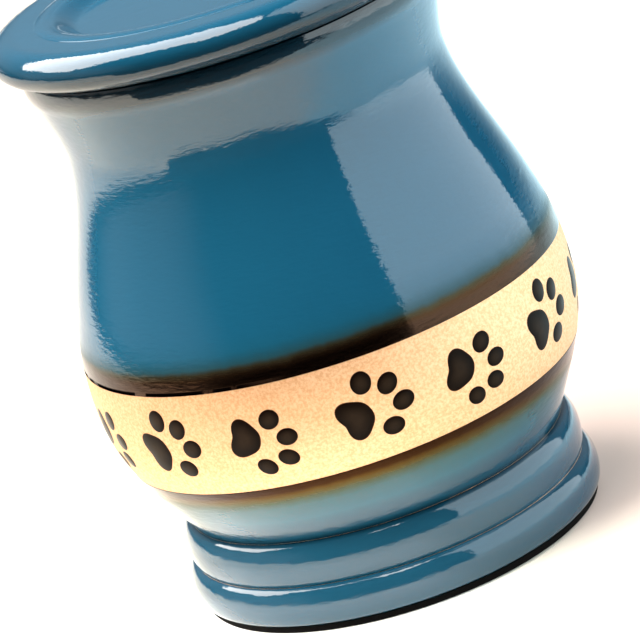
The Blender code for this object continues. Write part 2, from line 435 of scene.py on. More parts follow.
def dent(bearing, length):
    """How deep the brass is cut under the prints: 3t^2 - 2t^3 of the way in from each outline."""
    depth = np.zeros(np.broadcast(bearing, length).shape)
    for number in range(PRINTS):
        middle, level, turn, scale = print_pose(number)
        off = (bearing - middle + math.pi) % math.tau - math.pi
        x, y = off * BELLY_RADIUS / MM / scale, (length - level) / MM / scale
        x, y = x * math.cos(turn) + y * math.sin(turn), y * math.cos(turn) - x * math.sin(turn)
        for (part_x, part_y), reach in print_parts():
            way = np.hypot(x - part_x, y - part_y) / reach(np.arctan2(y - part_y, x - part_x))
            step = np.clip((1 - way) / DENT_RAMP, 0, 1)
            depth = np.maximum(depth, DENT_DEPTH * step**2 * (3 - 2 * step))
    return depth


def band_shell():
    """The bare band, a closed ring: its face lies a coat's thickness in from the outer line, and
    deeper in the dents of the prints, and its back follows the same line further in."""
    bearing = np.linspace(0.0, math.tau, BAND_SIDES, endpoint=False)[None, :]
    low, high = LOW_LENGTH - BAND_UNDER_COAT, HIGH_LENGTH + BAND_UNDER_COAT
    length = np.linspace(low, high, BAND_ROWS)[:, None]
    radius, height, out, up = placed(OUTER, length)
    sunk = COAT + dent(bearing, length)
    face = turned(radius - sunk * out, height - sunk * up, bearing)
    back = turned(radius - BAND_THICKNESS * out, height - BAND_THICKNESS * up, bearing)
    return grid_mesh(np.concatenate([face, back[::BAND_BACK_BY][::-1]]), rows_close=True)


def print_shells(number):
    """One print: each part a closed lens in polar rings, domed on its face by 1 - t squared."""
    middle, level, turn, scale = print_pose(number)
    shells = []
    for (part_x, part_y), reach in print_parts():
        direction = np.linspace(0.0, math.tau, PRINT_SIDES, endpoint=False)[None, :]
        face_way = np.sin(np.linspace(0.0, math.pi / 2, PRINT_RINGS))[:, None]
        back_way = np.array([[0.96], [0.5], [0.0]])
        way = np.concatenate([face_way, back_way])
        face_rise = PRINT_LIP + PRINT_DOME * (1 - face_way**2)
        rise = np.concatenate([face_rise, 0 * back_way - PRINT_BOTTOM])
        x = part_x + way * reach(direction) * np.cos(direction)
        y = part_y + way * reach(direction) * np.sin(direction)
        across = scale * (x * math.cos(turn) - y * math.sin(turn))
        upward = scale * (y * math.cos(turn) + x * math.sin(turn))
        radius, height, out, up = placed(OUTER, level + upward * MM)
        lift = rise - COAT
        grid = turned(radius + lift * out, height + lift * up, middle + across * MM / BELLY_RADIUS)
        marks = {"way_out": way + 0 * direction}
        shells.append(grid_mesh(grid, True, True, marks=marks))
    return shells


def body_line():
    """The brass body under its enamel: floor inside, wall, collar, top, outer side and underside.

    The wall's inner side is the outer line moved in by its thickness. The outer side has the rows
    of the two enamels, each moved in along its normal, so that brass and enamel never cross."""
    under_rim = RIM_LEVEL - RIM_THICKNESS
    inside_floor = FOOT_LEVEL + FLOOR_THICKNESS
    inside_low, inside_high = np.interp([inside_floor, under_rim], OUTER[:, 1], OUTER_LENGTHS)
    radius, height, out, up = placed(OUTER, np.linspace(inside_low, inside_high, INSIDE_ROWS))
    inside = np.column_stack([radius - WALL * out, height - WALL * up])
    inside = inside[(inside[:, 1] > inside_floor) & (inside[:, 1] < under_rim)]
    inside = inside[np.argsort(inside[:, 1])]
    lower = coat_rows(LOW_LENGTH, FOOT_END_LENGTH)[::-1]
    upper = coat_rows(HIGH_LENGTH, RIM_END_LENGTH)
    between = np.arange(LOW_LENGTH, HIGH_LENGTH, BRASS_STEP)[1:]
    rows = np.concatenate([lower[1:], between, upper[:-1]])
    radius, height, out, up = placed(OUTER, rows)
    above_low = height > BAND_LOW - BAND_UNDER_COAT / 2
    below_high = height < BAND_HIGH + BAND_UNDER_COAT / 2
    sunk = np.where(above_low & below_high, BRASS_UNDER_BAND, COAT)
    outside = np.column_stack([radius - sunk * out, height - sunk * up])
    return joined(
        [(0.0, inside_floor)],
        [(inside[0, 0] - FLOOR_CORNER, inside_floor)],
        inside,
        [(MOUTH_RADIUS + COLLAR_WALL, under_rim)],
        [(MOUTH_RADIUS + COLLAR_WALL, RIM_LEVEL - COLLAR_DEPTH)],
        [(MOUTH_RADIUS, RIM_LEVEL - COLLAR_DEPTH)],
        [(MOUTH_RADIUS, RIM_LEVEL - COAT)],
        [(RIM_RADIUS - BRASS_SET_IN, RIM_LEVEL - COAT)],
        outside[::-1],
        [(FOOT_RADIUS - BRASS_SET_IN, FOOT_LEVEL + COAT)],
        [(0.0, FOOT_LEVEL + COAT)],
    )


def rounded(corner, start, end, points=6):
    """A corner eased between two points: (1-t)^2, 2(1-t) t and t^2 of start, corner and end."""
    t = np.linspace(0.0, 1.0, points)[:, None]
    corner, start, end = (np.array(p) for p in (corner, start, end))
    return (1 - t) ** 2 * start + 2 * (1 - t) * t * corner + t**2 * end


def lid_line():
    """The lid from the middle of its dish out to its edge, then in along the seat and the spigot.

    The dish is a parabola, its slope rises by 3t^2 - 2t^3, the roll's crown is a parabola again,
    and the edge is half an ellipse."""
    hollow = np.linspace(0.0, 1.0, 30)
    dish = np.column_stack([DISH_FLOOR_RADIUS * hollow, DISH_LEVEL - DISH_HOLLOW * (1 - hollow**2)])
    way = np.linspace(0.0, 1.0, 36)
    slope_width = DISH_RADIUS - DISH_FLOOR_RADIUS
    slope_rise = DISH_DEPTH - ROLL_CROWN
    slope_height = DISH_LEVEL + slope_rise * (3 * way**2 - 2 * way**3)
    slope = np.column_stack([DISH_FLOOR_RADIUS + slope_width * way, slope_height])
    across = np.linspace(0.0, 1.0, 20)
    roll_width = ROLL_RADIUS - ROLL_ROUNDING - DISH_RADIUS
    crown_height = ROLL_LEVEL - ROLL_CROWN * (2 * across - 1) ** 2
    crown = np.column_stack([DISH_RADIUS + roll_width * across, crown_height])
    foot_of_roll = (ROLL_RADIUS, LEDGE_LEVEL)
    step = rounded((ROLL_RADIUS, crown[-1, 1]), crown[-1], foot_of_roll, STEP_POINTS)
    ledge = spaced(np.array([foot_of_roll, (EDGE_CENTRE_RADIUS, LEDGE_LEVEL)]), LEDGE_STEP)
    turn = np.linspace(math.pi / 2, -math.pi / 2, 72)
    edge_radius = EDGE_CENTRE_RADIUS + LID_EDGE_WIDTH * np.cos(turn)
    edge_height = LID_SEAT_LEVEL + LID_EDGE_HEIGHT / 2 * (1 + np.sin(turn))
    edge = np.column_stack([edge_radius, edge_height])
    under_ledge = [
        (EDGE_CENTRE_RADIUS - LID_SEAT_WIDTH, LID_SEAT_LEVEL),
        (EDGE_CENTRE_RADIUS - LID_SEAT_WIDTH, LEDGE_LEVEL - LID_THICKNESS),
        (DISH_RADIUS, LEDGE_LEVEL - LID_THICKNESS),
        (SPIGOT_RADIUS, DISH_LEVEL - LID_THICKNESS),
        (SPIGOT_RADIUS, LID_SEAT_LEVEL - SPIGOT_DEPTH),
        (SPIGOT_RADIUS - SPIGOT_WALL, LID_SEAT_LEVEL - SPIGOT_DEPTH),
        (SPIGOT_RADIUS - SPIGOT_WALL, DISH_LEVEL - LID_THICKNESS),
        (0.0, DISH_LEVEL - DISH_HOLLOW - LID_THICKNESS),
    ]
    return joined(dish, slope, crown, step, ledge, edge, under_ledge)


def felt_line():
    """The pad: a flat disc with its two corners eased."""
    eased = PAD_RADIUS - PAD_EASE
    upper_corner, under_corner = (PAD_RADIUS, PAD_THICKNESS), (PAD_RADIUS, PAD_THICKNESS - PAD_EASE)
    upper = rounded(upper_corner, (eased, PAD_THICKNESS), under_corner, 5)
    lower = rounded((PAD_RADIUS, 0.0), (PAD_RADIUS, PAD_EASE), (eased, 0.0), 5)
    top = [(0.0, PAD_THICKNESS), (PAD_RADIUS / 2, PAD_THICKNESS)]
    underside = [(PAD_RADIUS / 2, 0.0), (0.0, 0.0)]
    return joined(top, upper, lower, underside)


# Materials: colours are linear red, green and blue, and a slow noise drifts between the two of a pair

BLUES = ((0.0040, 0.050, 0.093), (0.0050, 0.058, 0.106))
FOOT_BLUES = ((0.0065, 0.046, 0.080), (0.0075, 0.052, 0.090))
# The colour of the painted shade under the lid, on the lid's edge and in the joint at the waist
PAINTED_SHADE_COLOUR = (0.0010, 0.0090, 0.0160)
EDGE_LINE_COLOUR = (0.0006, 0.0004, 0.0004)
BRASS_LIGHTS = ((0.81, 0.545, 0.340), (0.84, 0.570, 0.370))
BRASS_DARKS = ((0.69, 0.395, 0.200), (0.71, 0.415, 0.225))
PRINT_BROWNS = ((0.012, 0.0070, 0.0042), (0.017, 0.0100, 0.0060))
# The prints' painted shade, darker towards the outside of each part
PRINT_PAINTED_SHADE_BLACK = (0.0035, 0.0018, 0.0012)
PRINT_EDGE_BROWN = (0.045, 0.014, 0.005)
PRINT_SHEEN = (1.0, 0.86, 0.74, 1.0)
FELT_BLACKS = ((0.0012, 0.0010, 0.0010), (0.0045, 0.0038, 0.0035))
BLACK, WHITE = (0.0, 0.0, 0.0), (1.0, 1.0, 1.0)

# The enamel's surface under its gloss and in it, and how deep the bumps of its fine rings, of its
# peel, of a print's cushion and of the felt's nap are
ENAMEL_ROUGHNESS = 0.16
GLOSS_ROUGHNESS = 0.02
GLOSS_IOR = 1.55
RING_STRETCH = (0.28, 0.28, 1.0)
RING_DEPTH = 0.00006
PEEL_DEPTH = 0.00002
CUSHION_DEPTH = 0.00022
NAP_DEPTH = 0.0002

# The enamel's stops, all counted in millimetres up to FADE_END. A fade stop is millimetres from
# the masked edge, colour, and shares of metal, gloss and blue. The others are pairs with a share
FADE_END = 16.0
SPRAY_SPREAD = 1.2
UPPER_FADE = [
    (0.0, (0.040, 0.021, 0.013), 1.0, 0.0, 0.0),
    (2.2, (0.040, 0.021, 0.013), 1.0, 0.0, 0.0),
    (3.3, (0.040, 0.020, 0.009), 0.92, 0.01, 0.01),
    (4.5, (0.034, 0.025, 0.007), 0.65, 0.10, 0.08),
    (5.6, (0.013, 0.027, 0.016), 0.16, 0.38, 0.40),
    (8.5, (0.006, 0.040, 0.052), 0.0, 0.80, 0.80),
    (13.5, (0.0045, 0.057, 0.102), 0.0, 1.0, 1.0),
]
LOWER_FADE = [
    (0.0, (0.018, 0.0068, 0.0022), 1.0, 0.0, 0.0),
    (1.8, (0.028, 0.0105, 0.0028), 1.0, 0.0, 0.0),
    (2.8, (0.058, 0.0300, 0.0065), 0.95, 0.01, 0.0),
    (3.9, (0.062, 0.0450, 0.0110), 0.80, 0.12, 0.0),
    (5.2, (0.034, 0.0520, 0.0260), 0.35, 0.45, 0.0),
    (7.2, (0.009, 0.0640, 0.0740), 0.05, 0.85, 0.10),
    (12.0, (0.004, 0.0820, 0.1240), 0.0, 1.0, 0.20),
    (15.9, (0.004, 0.0700, 0.1120), 0.0, 1.0, 1.0),
]
# Painted shade under the lid, darkest at the rim
LIP_PAINTED_SHADE = [(0.0, 1.0), (4.0, 0.85), (6.6, 0.0)]
# Painted shade on the lid's edge, darkest at its seat
LID_PAINTED_SHADE = [(0.0, 1.0), (1.2, 0.9), (4.5, 0.75), (6.5, 0.45), (9.0, 0.12), (10.5, 0.0)]
LID_DULL = [(0.0, 1.0), (0.06, 1.0), (0.25, 0.25), (4.6, 0.22), (6.4, 0.0)]
# Painted shade in the joint at the waist
JOINT_PAINTED_SHADE = [(0.0, 0.8), (0.5, 0.6), (1.6, 0.0)]
EDGE_LINE = [(0.0, 1.0), (0.75, 1.0), (0.95, 0.0)]
EDGE_LINE_GAPS = [(0.42, BLACK), (0.48, WHITE)]
EDGE_LINE_X = (-0.012, -0.024)


def start_material(name):
    """A new material with its nodes and its shader."""
    material = bpy.data.materials.new(name)
    material.use_nodes = True
    tree = material.node_tree
    return material, tree, tree.nodes["Principled BSDF"]


def noise(tree, scale, detail=3.0, stretch=(1.0, 1.0, 1.0), roughness=0.5):
    """A noise on Object coordinates, stretched by a Mapping node."""
    where = tree.nodes.new("ShaderNodeTexCoord")
    mapping = tree.nodes.new("ShaderNodeMapping")
    mapping.inputs["Scale"].default_value = stretch
    grain = tree.nodes.new("ShaderNodeTexNoise")
    grain.inputs["Scale"].default_value = scale
    grain.inputs["Detail"].default_value = detail
    grain.inputs["Roughness"].default_value = roughness
    tree.links.new(where.outputs["Object"], mapping.inputs["Vector"])
    tree.links.new(mapping.outputs["Vector"], grain.inputs["Vector"])
    return grain.outputs["Fac"]


def ramp(tree, value, stops):
    """A colour ramp through (position, colour) stops."""
    node = tree.nodes.new("ShaderNodeValToRGB")
    elements = node.color_ramp.elements
    while len(elements) < len(stops):
        elements.new(0.5)
    for element, (position, colour) in zip(elements, stops):
        element.position = position
        element.color = (*colour, 1.0)
    tree.links.new(value, node.inputs["Fac"])
    return node.outputs["Color"]


def scaled(tree, value, factor, addend=0.0):
    """value times factor plus addend."""
    node = tree.nodes.new("ShaderNodeMath")
    node.operation = "MULTIPLY_ADD"
    tree.links.new(value, node.inputs[0])
    node.inputs[1].default_value = factor
    node.inputs[2].default_value = addend
    return node.outputs[0]


def added(tree, first, second):
    """first plus second."""
    node = tree.nodes.new("ShaderNodeMath")
    node.operation = "ADD"
    tree.links.new(first, node.inputs[0])
    tree.links.new(second, node.inputs[1])
    return node.outputs[0]


def times(tree, first, second):
    """first times second."""
    node = tree.nodes.new("ShaderNodeMath")
    node.operation = "MULTIPLY"
    tree.links.new(first, node.inputs[0])
    tree.links.new(second, node.inputs[1])
    return node.outputs[0]


def smooth_step(tree, value, start, end):
    """0 up to start, 1 past end and 3t^2 - 2t^3 between; start may be the larger one."""
    node = tree.nodes.new("ShaderNodeMapRange")
    node.interpolation_type = "SMOOTHSTEP"
    tree.links.new(value, node.inputs["Value"])
    node.inputs["From Min"].default_value = start
    node.inputs["From Max"].default_value = end
    return node.outputs["Result"]


def mixed(tree, share, first, second):
    """A mix of two colours by a share from 0 to 1."""
    node = tree.nodes.new("ShaderNodeMix")
    node.data_type = "RGBA"
    tree.links.new(share, node.inputs["Factor"])
    for socket, colour in ((node.inputs["A"], first), (node.inputs["B"], second)):
        if isinstance(colour, tuple):
            socket.default_value = (*colour, 1.0)
        else:
            tree.links.new(colour, socket)
    return node.outputs["Result"]


def bumped(tree, height, distance, strength=1.0, normal=None):
    """The normal, or another one, leaned by a height that counts distance metres as 1."""
    node = tree.nodes.new("ShaderNodeBump")
    node.inputs["Strength"].default_value = strength
    node.inputs["Distance"].default_value = distance
    tree.links.new(height, node.inputs["Height"])
    if normal is not None:
        tree.links.new(normal, node.inputs["Normal"])
    return node.outputs["Normal"]


def axes(tree, coordinates="Object"):
    """Coordinates, and their X, Y and Z each alone."""
    where = tree.nodes.new("ShaderNodeTexCoord").outputs[coordinates]
    split = tree.nodes.new("ShaderNodeSeparateXYZ")
    tree.links.new(where, split.inputs["Vector"])
    return where, split.outputs


def stored(tree, name):
    """A number stored on the mesh under a name."""
    node = tree.nodes.new("ShaderNodeAttribute")
    node.attribute_name = name
    return node.outputs["Fac"]


def grey_ramp(tree, value, stops):
    """A ramp through (millimetres, share) stops, over a value that is 1 at FADE_END millimetres."""
    return ramp(tree, value, [(place / FADE_END, (share, share, share)) for place, share in stops])


def enamel(name, blues, fade_stops, painted_shade_stops, dull_stops=None, edge_line=False):
    """Glossy enamel, sprayed thin and brown over the brass beside the bare band.

    The fade stops go by the millimetres stored in from_edge, moved a little by the spray's grain.
    The painted shade stops, for how dark it is painted, and the dull stops, for how far it is
    without gloss, go by those in from_painted_shade. The edge line is a broken black line along the
    masked edge on the left."""
    material, tree, shader = start_material(name)
    drift = noise(tree, 34.0, 2.0)
    blue = mixed(tree, drift, *blues)
    distance = stored(tree, "from_edge")
    spray = noise(tree, 260.0, 3.0, (1.0, 1.0, 0.6))
    moved = added(tree, distance, scaled(tree, spray, SPRAY_SPREAD, -SPRAY_SPREAD / 2))
    share = scaled(tree, moved, 1 / FADE_END)
    fade = ramp(tree, share, [(stop / FADE_END, colour) for stop, colour, _, _, _ in fade_stops])
    metal = grey_ramp(tree, share, [(stop, m) for stop, _, m, _, _ in fade_stops])
    gloss = grey_ramp(tree, share, [(stop, g) for stop, _, _, g, _ in fade_stops])
    cover = grey_ramp(tree, share, [(stop, c) for stop, _, _, _, c in fade_stops])
    shaded = scaled(tree, stored(tree, "from_painted_shade"), 1 / FADE_END)
    # Painted shade: the enamel is darkened towards the shade colour by these stops
    shade = grey_ramp(tree, shaded, painted_shade_stops)
    colour = mixed(tree, shade, mixed(tree, cover, fade, blue), PAINTED_SHADE_COLOUR)
    if dull_stops:
        gloss = times(tree, gloss, scaled(tree, grey_ramp(tree, shaded, dull_stops), -1.0, 1.0))
    if edge_line:
        gaps = ramp(tree, noise(tree, 210.0, 2.0, (1.0, 1.0, 0.3)), EDGE_LINE_GAPS)
        near = grey_ramp(tree, scaled(tree, distance, 1 / FADE_END), EDGE_LINE)
        _, place = axes(tree)
        side = smooth_step(tree, place["X"], *EDGE_LINE_X)
        line = times(tree, times(tree, near, gaps), side)
        colour = mixed(tree, line, colour, EDGE_LINE_COLOUR)
        metal = times(tree, metal, scaled(tree, line, -1.0, 1.0))
    tree.links.new(colour, shader.inputs["Base Color"])
    tree.links.new(metal, shader.inputs["Metallic"])
    tree.links.new(gloss, shader.inputs["Coat Weight"])
    shader.inputs["Roughness"].default_value = ENAMEL_ROUGHNESS
    shader.inputs["Specular IOR Level"].default_value = 0.0
    shader.inputs["Coat Roughness"].default_value = GLOSS_ROUGHNESS
    shader.inputs["Coat IOR"].default_value = GLOSS_IOR
    rings = noise(tree, 1150.0, 3.0, RING_STRETCH)
    peel = noise(tree, 420.0, 2.0)
    normal = bumped(tree, rings, RING_DEPTH)
    normal = bumped(tree, peel, PEEL_DEPTH, normal=normal)
    tree.links.new(normal, shader.inputs["Normal"])
    tree.links.new(normal, shader.inputs["Coat Normal"])
    return material


def brass(name):
    """Satin brass: a fine mottled grain in its colour, roughness and surface."""
    material, tree, shader = start_material(name)
    mottle = noise(tree, 1500.0, 3.0, roughness=0.7)
    cloud = noise(tree, 60.0, 2.0)
    fine = noise(tree, 4200.0, 2.0)
    light = mixed(tree, cloud, *BRASS_LIGHTS)
    dark = mixed(tree, cloud, *BRASS_DARKS)
    share = ramp(tree, mottle, [(0.38, BLACK), (0.62, WHITE)])
    tree.links.new(mixed(tree, share, dark, light), shader.inputs["Base Color"])
    shader.inputs["Metallic"].default_value = 1.0
    tree.links.new(scaled(tree, mottle, 0.16, 0.60), shader.inputs["Roughness"])
    normal = bumped(tree, mottle, 0.00001, 0.6)
    normal = bumped(tree, fine, 0.000004, 0.6, normal)
    tree.links.new(normal, shader.inputs["Normal"])
    return material


def print_enamel(name):
    """Brown-black enamel, thinner and browner at its edge, with painted shade that leaves the middle
    of each part lighter and darkens it further out, and cushioned: bumped by 1 - t squared of the way
    out that is stored in way_out."""
    material, tree, shader = start_material(name)
    way = stored(tree, "way_out")
    cloud = noise(tree, 700.0, 2.0)
    middle = mixed(tree, cloud, *PRINT_BROWNS)
    # Painted shade: each part darker further out from its middle
    painted_cushion_shade = ramp(tree, way, [(0.25, BLACK), (0.80, WHITE)])
    body = mixed(tree, painted_cushion_shade, middle, PRINT_PAINTED_SHADE_BLACK)
    edge = ramp(tree, way, [(0.94, BLACK), (1.0, WHITE)])
    tree.links.new(mixed(tree, edge, body, PRINT_EDGE_BROWN), shader.inputs["Base Color"])
    shader.inputs["Specular IOR Level"].default_value = 0.045
    shader.inputs["Specular Tint"].default_value = PRINT_SHEEN
    tree.links.new(scaled(tree, cloud, 0.12, 0.26), shader.inputs["Roughness"])
    cushion = scaled(tree, times(tree, way, way), -1.0, 1.0)
    normal = bumped(tree, cushion, CUSHION_DEPTH)
    tree.links.new(bumped(tree, cloud, 0.000012, normal=normal), shader.inputs["Normal"])
    return material


def felt(name):
    """Dense black felt: a dull matted nap."""
    material, tree, shader = start_material(name)
    nap = noise(tree, 1800.0, 6.0, roughness=0.7)
    tree.links.new(mixed(tree, nap, *FELT_BLACKS), shader.inputs["Base Color"])
    shader.inputs["Roughness"].default_value = 0.95
    shader.inputs["Specular IOR Level"].default_value = 0.1
    tree.links.new(bumped(tree, nap, NAP_DEPTH), shader.inputs["Normal"])
    return material


def end_tail(corner, neighbour, end_radius):
    """The enamel's way round a corner of the body and in along its flat end."""
    radius, level = corner
    turn = rounded(corner, neighbour, (radius - END_ROUNDING, level))
    return joined(turn, [(end_radius, level)])[1:]


def shoulder_shell():
    """The upper enamel, from the band up to the rim, with painted shade under the lid."""
    tail = end_tail((RIM_RADIUS, RIM_LEVEL), OUTER[-2], RIM_END_RADIUS)
    lean, seed = HIGH_EDGE_LEAN, HIGH_EDGE_SEED
    return coat_shell(HIGH_LENGTH, RIM_END_LENGTH, RIM_END_LENGTH, lean, seed, tail, True)


def foot_shell():
    """The lower enamel, from the band to the foot's edge, with painted shade in the waist's joint."""
    tail = end_tail((FOOT_RADIUS, FOOT_LEVEL), OUTER[1], FOOT_END_RADIUS)
    lean, seed = LOW_EDGE_LEAN, LOW_EDGE_SEED
    return coat_shell(LOW_LENGTH, FOOT_END_LENGTH, WAIST_LENGTH, lean, seed, tail, False)


def make_body():
    """The vessel: brass, the bare band set in it, enamel above and below, and the filled prints."""
    upper_blue = enamel("upper_enamel", BLUES, UPPER_FADE, LIP_PAINTED_SHADE, edge_line=True)
    lower_blue = enamel("lower_enamel", FOOT_BLUES, LOWER_FADE, JOINT_PAINTED_SHADE)
    bare = brass("satin_brass")
    paw = print_enamel("print_enamel")
    body = piece("brass_body", [turned_shell(body_line())], bare)
    band = piece("bare_band", [band_shell()], bare)
    upper = piece("shoulder_enamel", [shoulder_shell()], upper_blue)
    lower = piece("foot_enamel", [foot_shell()], lower_blue)
    prints = [
        piece(f"paw_print_{number + 1:02d}", print_shells(number), paw)
        for number in range(PRINTS)
    ]
    for part in (body, band, upper, lower, *prints):
        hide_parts("urn_body")


def make_lid():
    """The lid, all enamel, with painted shade towards its seat."""
    blue = enamel("lid_enamel", BLUES, UPPER_FADE, LID_PAINTED_SHADE, LID_DULL)
    line = lid_line()
    # Millimetres from the seat, for the painted shade on the lid's edge
    above_seat = np.maximum(line[:, 1] - LID_SEAT_LEVEL, 0.0)
    inward = np.maximum(EDGE_CENTRE_RADIUS - line[:, 0], 0.0)
    from_edge = np.full(len(line), FADE_END)
    marks = {"from_edge": from_edge, "from_painted_shade": (above_seat + inward) / MM}
    lid = piece("dished_lid", [turned_shell(line, LID_SIDES, marks)], blue)
    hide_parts("lid")


def make_pad():
    """The felt disc under the foot."""
    pad = piece("felt_pad", [turned_shell(felt_line())], felt("black_felt"))
    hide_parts("base_pad")


# The studio. The floor's painted tones of light and shade and the world's lights each come in
# over a smooth step with a start and an end: metres along X or Y or from the urn's middle for
# the floor, and parts of a direction for the world. The strengths of the panel and the fill are
# for each square metre

CAMERA_PLACE = (0.0, -1.01332, 0.36934)
CAMERA_PAN = -0.0021
CAMERA_TILT = -0.2982
CAMERA_ROLL = -0.3215
CAMERA_LENS = 254.98
SENSOR = 36.0
FLOOR_REACH = 6.0
FLOOR_TONES = ((0.70, 0.650, 0.555), (0.72, 0.670, 0.575))
# Painted shade: the floor darker behind and far to the left
BEHIND_PAINTED_SHADE_TONE = (0.52, 0.480, 0.430)
BEHIND_Y = (0.08, 0.25)
FAR_LEFT_PAINTED_SHADE_TONE = (0.50, 0.500, 0.470)
FAR_LEFT_X = (-0.30, -0.60)
# A painted shadow on the floor to the right of the foot
PAINTED_SHADOW_TONE = (0.66, 0.515, 0.455)
SHADOW_X = (0.020, 0.045)
SHADOW_Y = (-0.060, -0.020)
SHADOW_REACH = (0.20, 0.12)
# Painted bluish light on the floor to the right
RIGHT_PAINTED_LIGHT_TONE = (0.50, 0.700, 0.780)
RIGHT_X = (0.055, 0.150)
# Painted light on the floor in front of the foot
FOOT_PAINTED_LIGHT_TONE = (0.97, 0.95, 0.90)
FOOT_X = (0.03, 0.0)
FOOT_Y = (0.02, -0.02)
FOOT_REACH = (0.16, 0.06)
# A dark sheet of painted shade in front, for the unlit room past the table's edge
SHADE_SHEET_TONE = (0.02, 0.02, 0.02, 1.0)
SHADE_SHEET_LEVEL = 0.0005
SHADE_SHEET_FAR_CORNERS = ((-4.0, 2.0), (-4.0, -4.0), (1.5, -4.0))
SHADE_SHEET_EDGE = (
    (1.5, -0.60),
    (0.16, -0.316),
    (0.09, -0.277),
    (-0.01, -0.233),
    (-0.11, -0.224),
    (-0.20, -0.160),
    (-0.25, -0.153),
    (-0.54, -0.29),
    (-0.66, -0.28),
    (-0.76, -0.12),
    (-0.84, 0.05),
    (-0.93, 0.30),
    (-0.95, 2.0),
)
BOX_HEIGHT = 0.90
BOX_COLOUR = (1.0, 0.955, 0.91, 1.0)
BOX_STRENGTH = 10.0
BOX_OUTLINE = (
    (-1.42, 1.21),
    (-1.50, 0.07),
    (-0.52, -0.06),
    (-0.25, -0.27),
    (-0.19, -0.46),
    (-0.02, -0.50),
    (0.13, -0.28),
    (0.10, -0.05),
    (-0.12, 0.34),
    (-0.37, 0.98),
)
PANEL_CORNER = (0.40, -0.64, 0.0)
PANEL_ACROSS = (0.1285, 0.889, 0.0)
PANEL_UPWARD = (0.0, 0.0, 2.4)
PANEL_STRENGTH = 2.5
PANEL_COLOUR = (0.86, 0.97, 1.0)
FILL_BEARING = math.radians(-62)
FILL_ELEVATION = math.radians(62)
FILL_DISTANCE = 1.3
FILL_SIZE = 0.7
FILL_STRENGTH = 25.0
FILL_COLOUR = (1.0, 0.965, 0.91)
WATTS_PER_AREA = 4
WORLD_COLOUR = (1.0, 0.985, 0.96, 1.0)
WORLD_SEEN_COLOUR = (0.99, 0.975, 0.92, 1.0)
WORLD_DARK = 0.03
WALL_LIGHT = 1.20
WALL_Y = (0.66, 0.90)
WALL_Z = (0.10, -0.02)
CEILING_LIGHT = 0.32
CEILING_Y = (0.2, 0.9)
CEILING_Z = (0.02, 0.22)
SIDE_LIGHT = 0.45
SIDE_X = (-0.70, -0.98)


def make_camera():
    """The camera of the view: turned, tipped down and rolled about its own line of sight."""
    ahead = np.array([
        math.sin(CAMERA_PAN) * math.cos(CAMERA_TILT),
        math.cos(CAMERA_PAN) * math.cos(CAMERA_TILT),
        math.sin(CAMERA_TILT),
    ])
    level = np.array([math.cos(CAMERA_PAN), -math.sin(CAMERA_PAN), 0.0])
    upright = np.cross(level, ahead)
    right = math.cos(CAMERA_ROLL) * level + math.sin(CAMERA_ROLL) * upright
    top = -math.sin(CAMERA_ROLL) * level + math.cos(CAMERA_ROLL) * upright
    camera = bpy.data.cameras.new("camera")
    camera.lens = CAMERA_LENS
    camera.sensor_width = SENSOR
    camera.clip_start = 0.05
    camera.clip_end = 50.0
    made = bpy.data.objects.new("camera", camera)
    bpy.context.scene.collection.objects.link(made)
    turn = np.column_stack([right, top, -ahead, CAMERA_PLACE])
    made.matrix_world = Matrix([*turn.tolist(), [0.0, 0.0, 0.0, 1.0]])
    bpy.context.scene.camera = made


def flat_sheet(name, corners, height):
    """A flat stage sheet with these corners, facing up."""
    mesh = bpy.data.meshes.new(name)
    mesh.from_pydata([(x, y, height) for x, y in corners], [], [tuple(range(len(corners)))])
    made = bpy.data.objects.new(name, mesh)
    bpy.context.scene.collection.objects.link(made)
    return made


def make_floor():
    """A pale floor with painted light and shade: darker behind and far to the left, a painted shadow
    to the right of the foot, painted bluish light to the right and painted light in front of the
    foot."""
    material, tree, shader = start_material("pale_floor")
    tone = noise(tree, 3.0, 2.0)
    where, place = axes(tree)
    reach = tree.nodes.new("ShaderNodeVectorMath")
    reach.operation = "LENGTH"
    tree.links.new(where, reach.inputs[0])
    reach = reach.outputs["Value"]
    plain = mixed(tree, tone, *FLOOR_TONES)
    # Painted shade behind and far to the left
    plain = mixed(tree, smooth_step(tree, place["Y"], *BEHIND_Y), plain, BEHIND_PAINTED_SHADE_TONE)
    plain = mixed(tree, smooth_step(tree, place["X"], *FAR_LEFT_X), plain, FAR_LEFT_PAINTED_SHADE_TONE)
    # A painted shadow to the right of the foot
    shadow = smooth_step(tree, place["Y"], *SHADOW_Y)
    shadow = times(tree, shadow, smooth_step(tree, place["X"], *SHADOW_X))
    shadow = times(tree, shadow, smooth_step(tree, reach, *SHADOW_REACH))
    plain = mixed(tree, shadow, plain, PAINTED_SHADOW_TONE)
    # Painted bluish light to the right
    plain = mixed(tree, smooth_step(tree, place["X"], *RIGHT_X), plain, RIGHT_PAINTED_LIGHT_TONE)
    # Painted light in front of the foot
    near = smooth_step(tree, reach, *FOOT_REACH)
    front = smooth_step(tree, place["Y"], *FOOT_Y)
    front = times(tree, front, smooth_step(tree, place["X"], *FOOT_X))
    plain = mixed(tree, times(tree, near, front), plain, FOOT_PAINTED_LIGHT_TONE)
    tree.links.new(plain, shader.inputs["Base Color"])
    shader.inputs["Roughness"].default_value = 0.7
    end = FLOOR_REACH
    floor = flat_sheet("floor", [(-end, -end), (end, -end), (end, end), (-end, end)], 0.0)
    floor.data.materials.append(material)


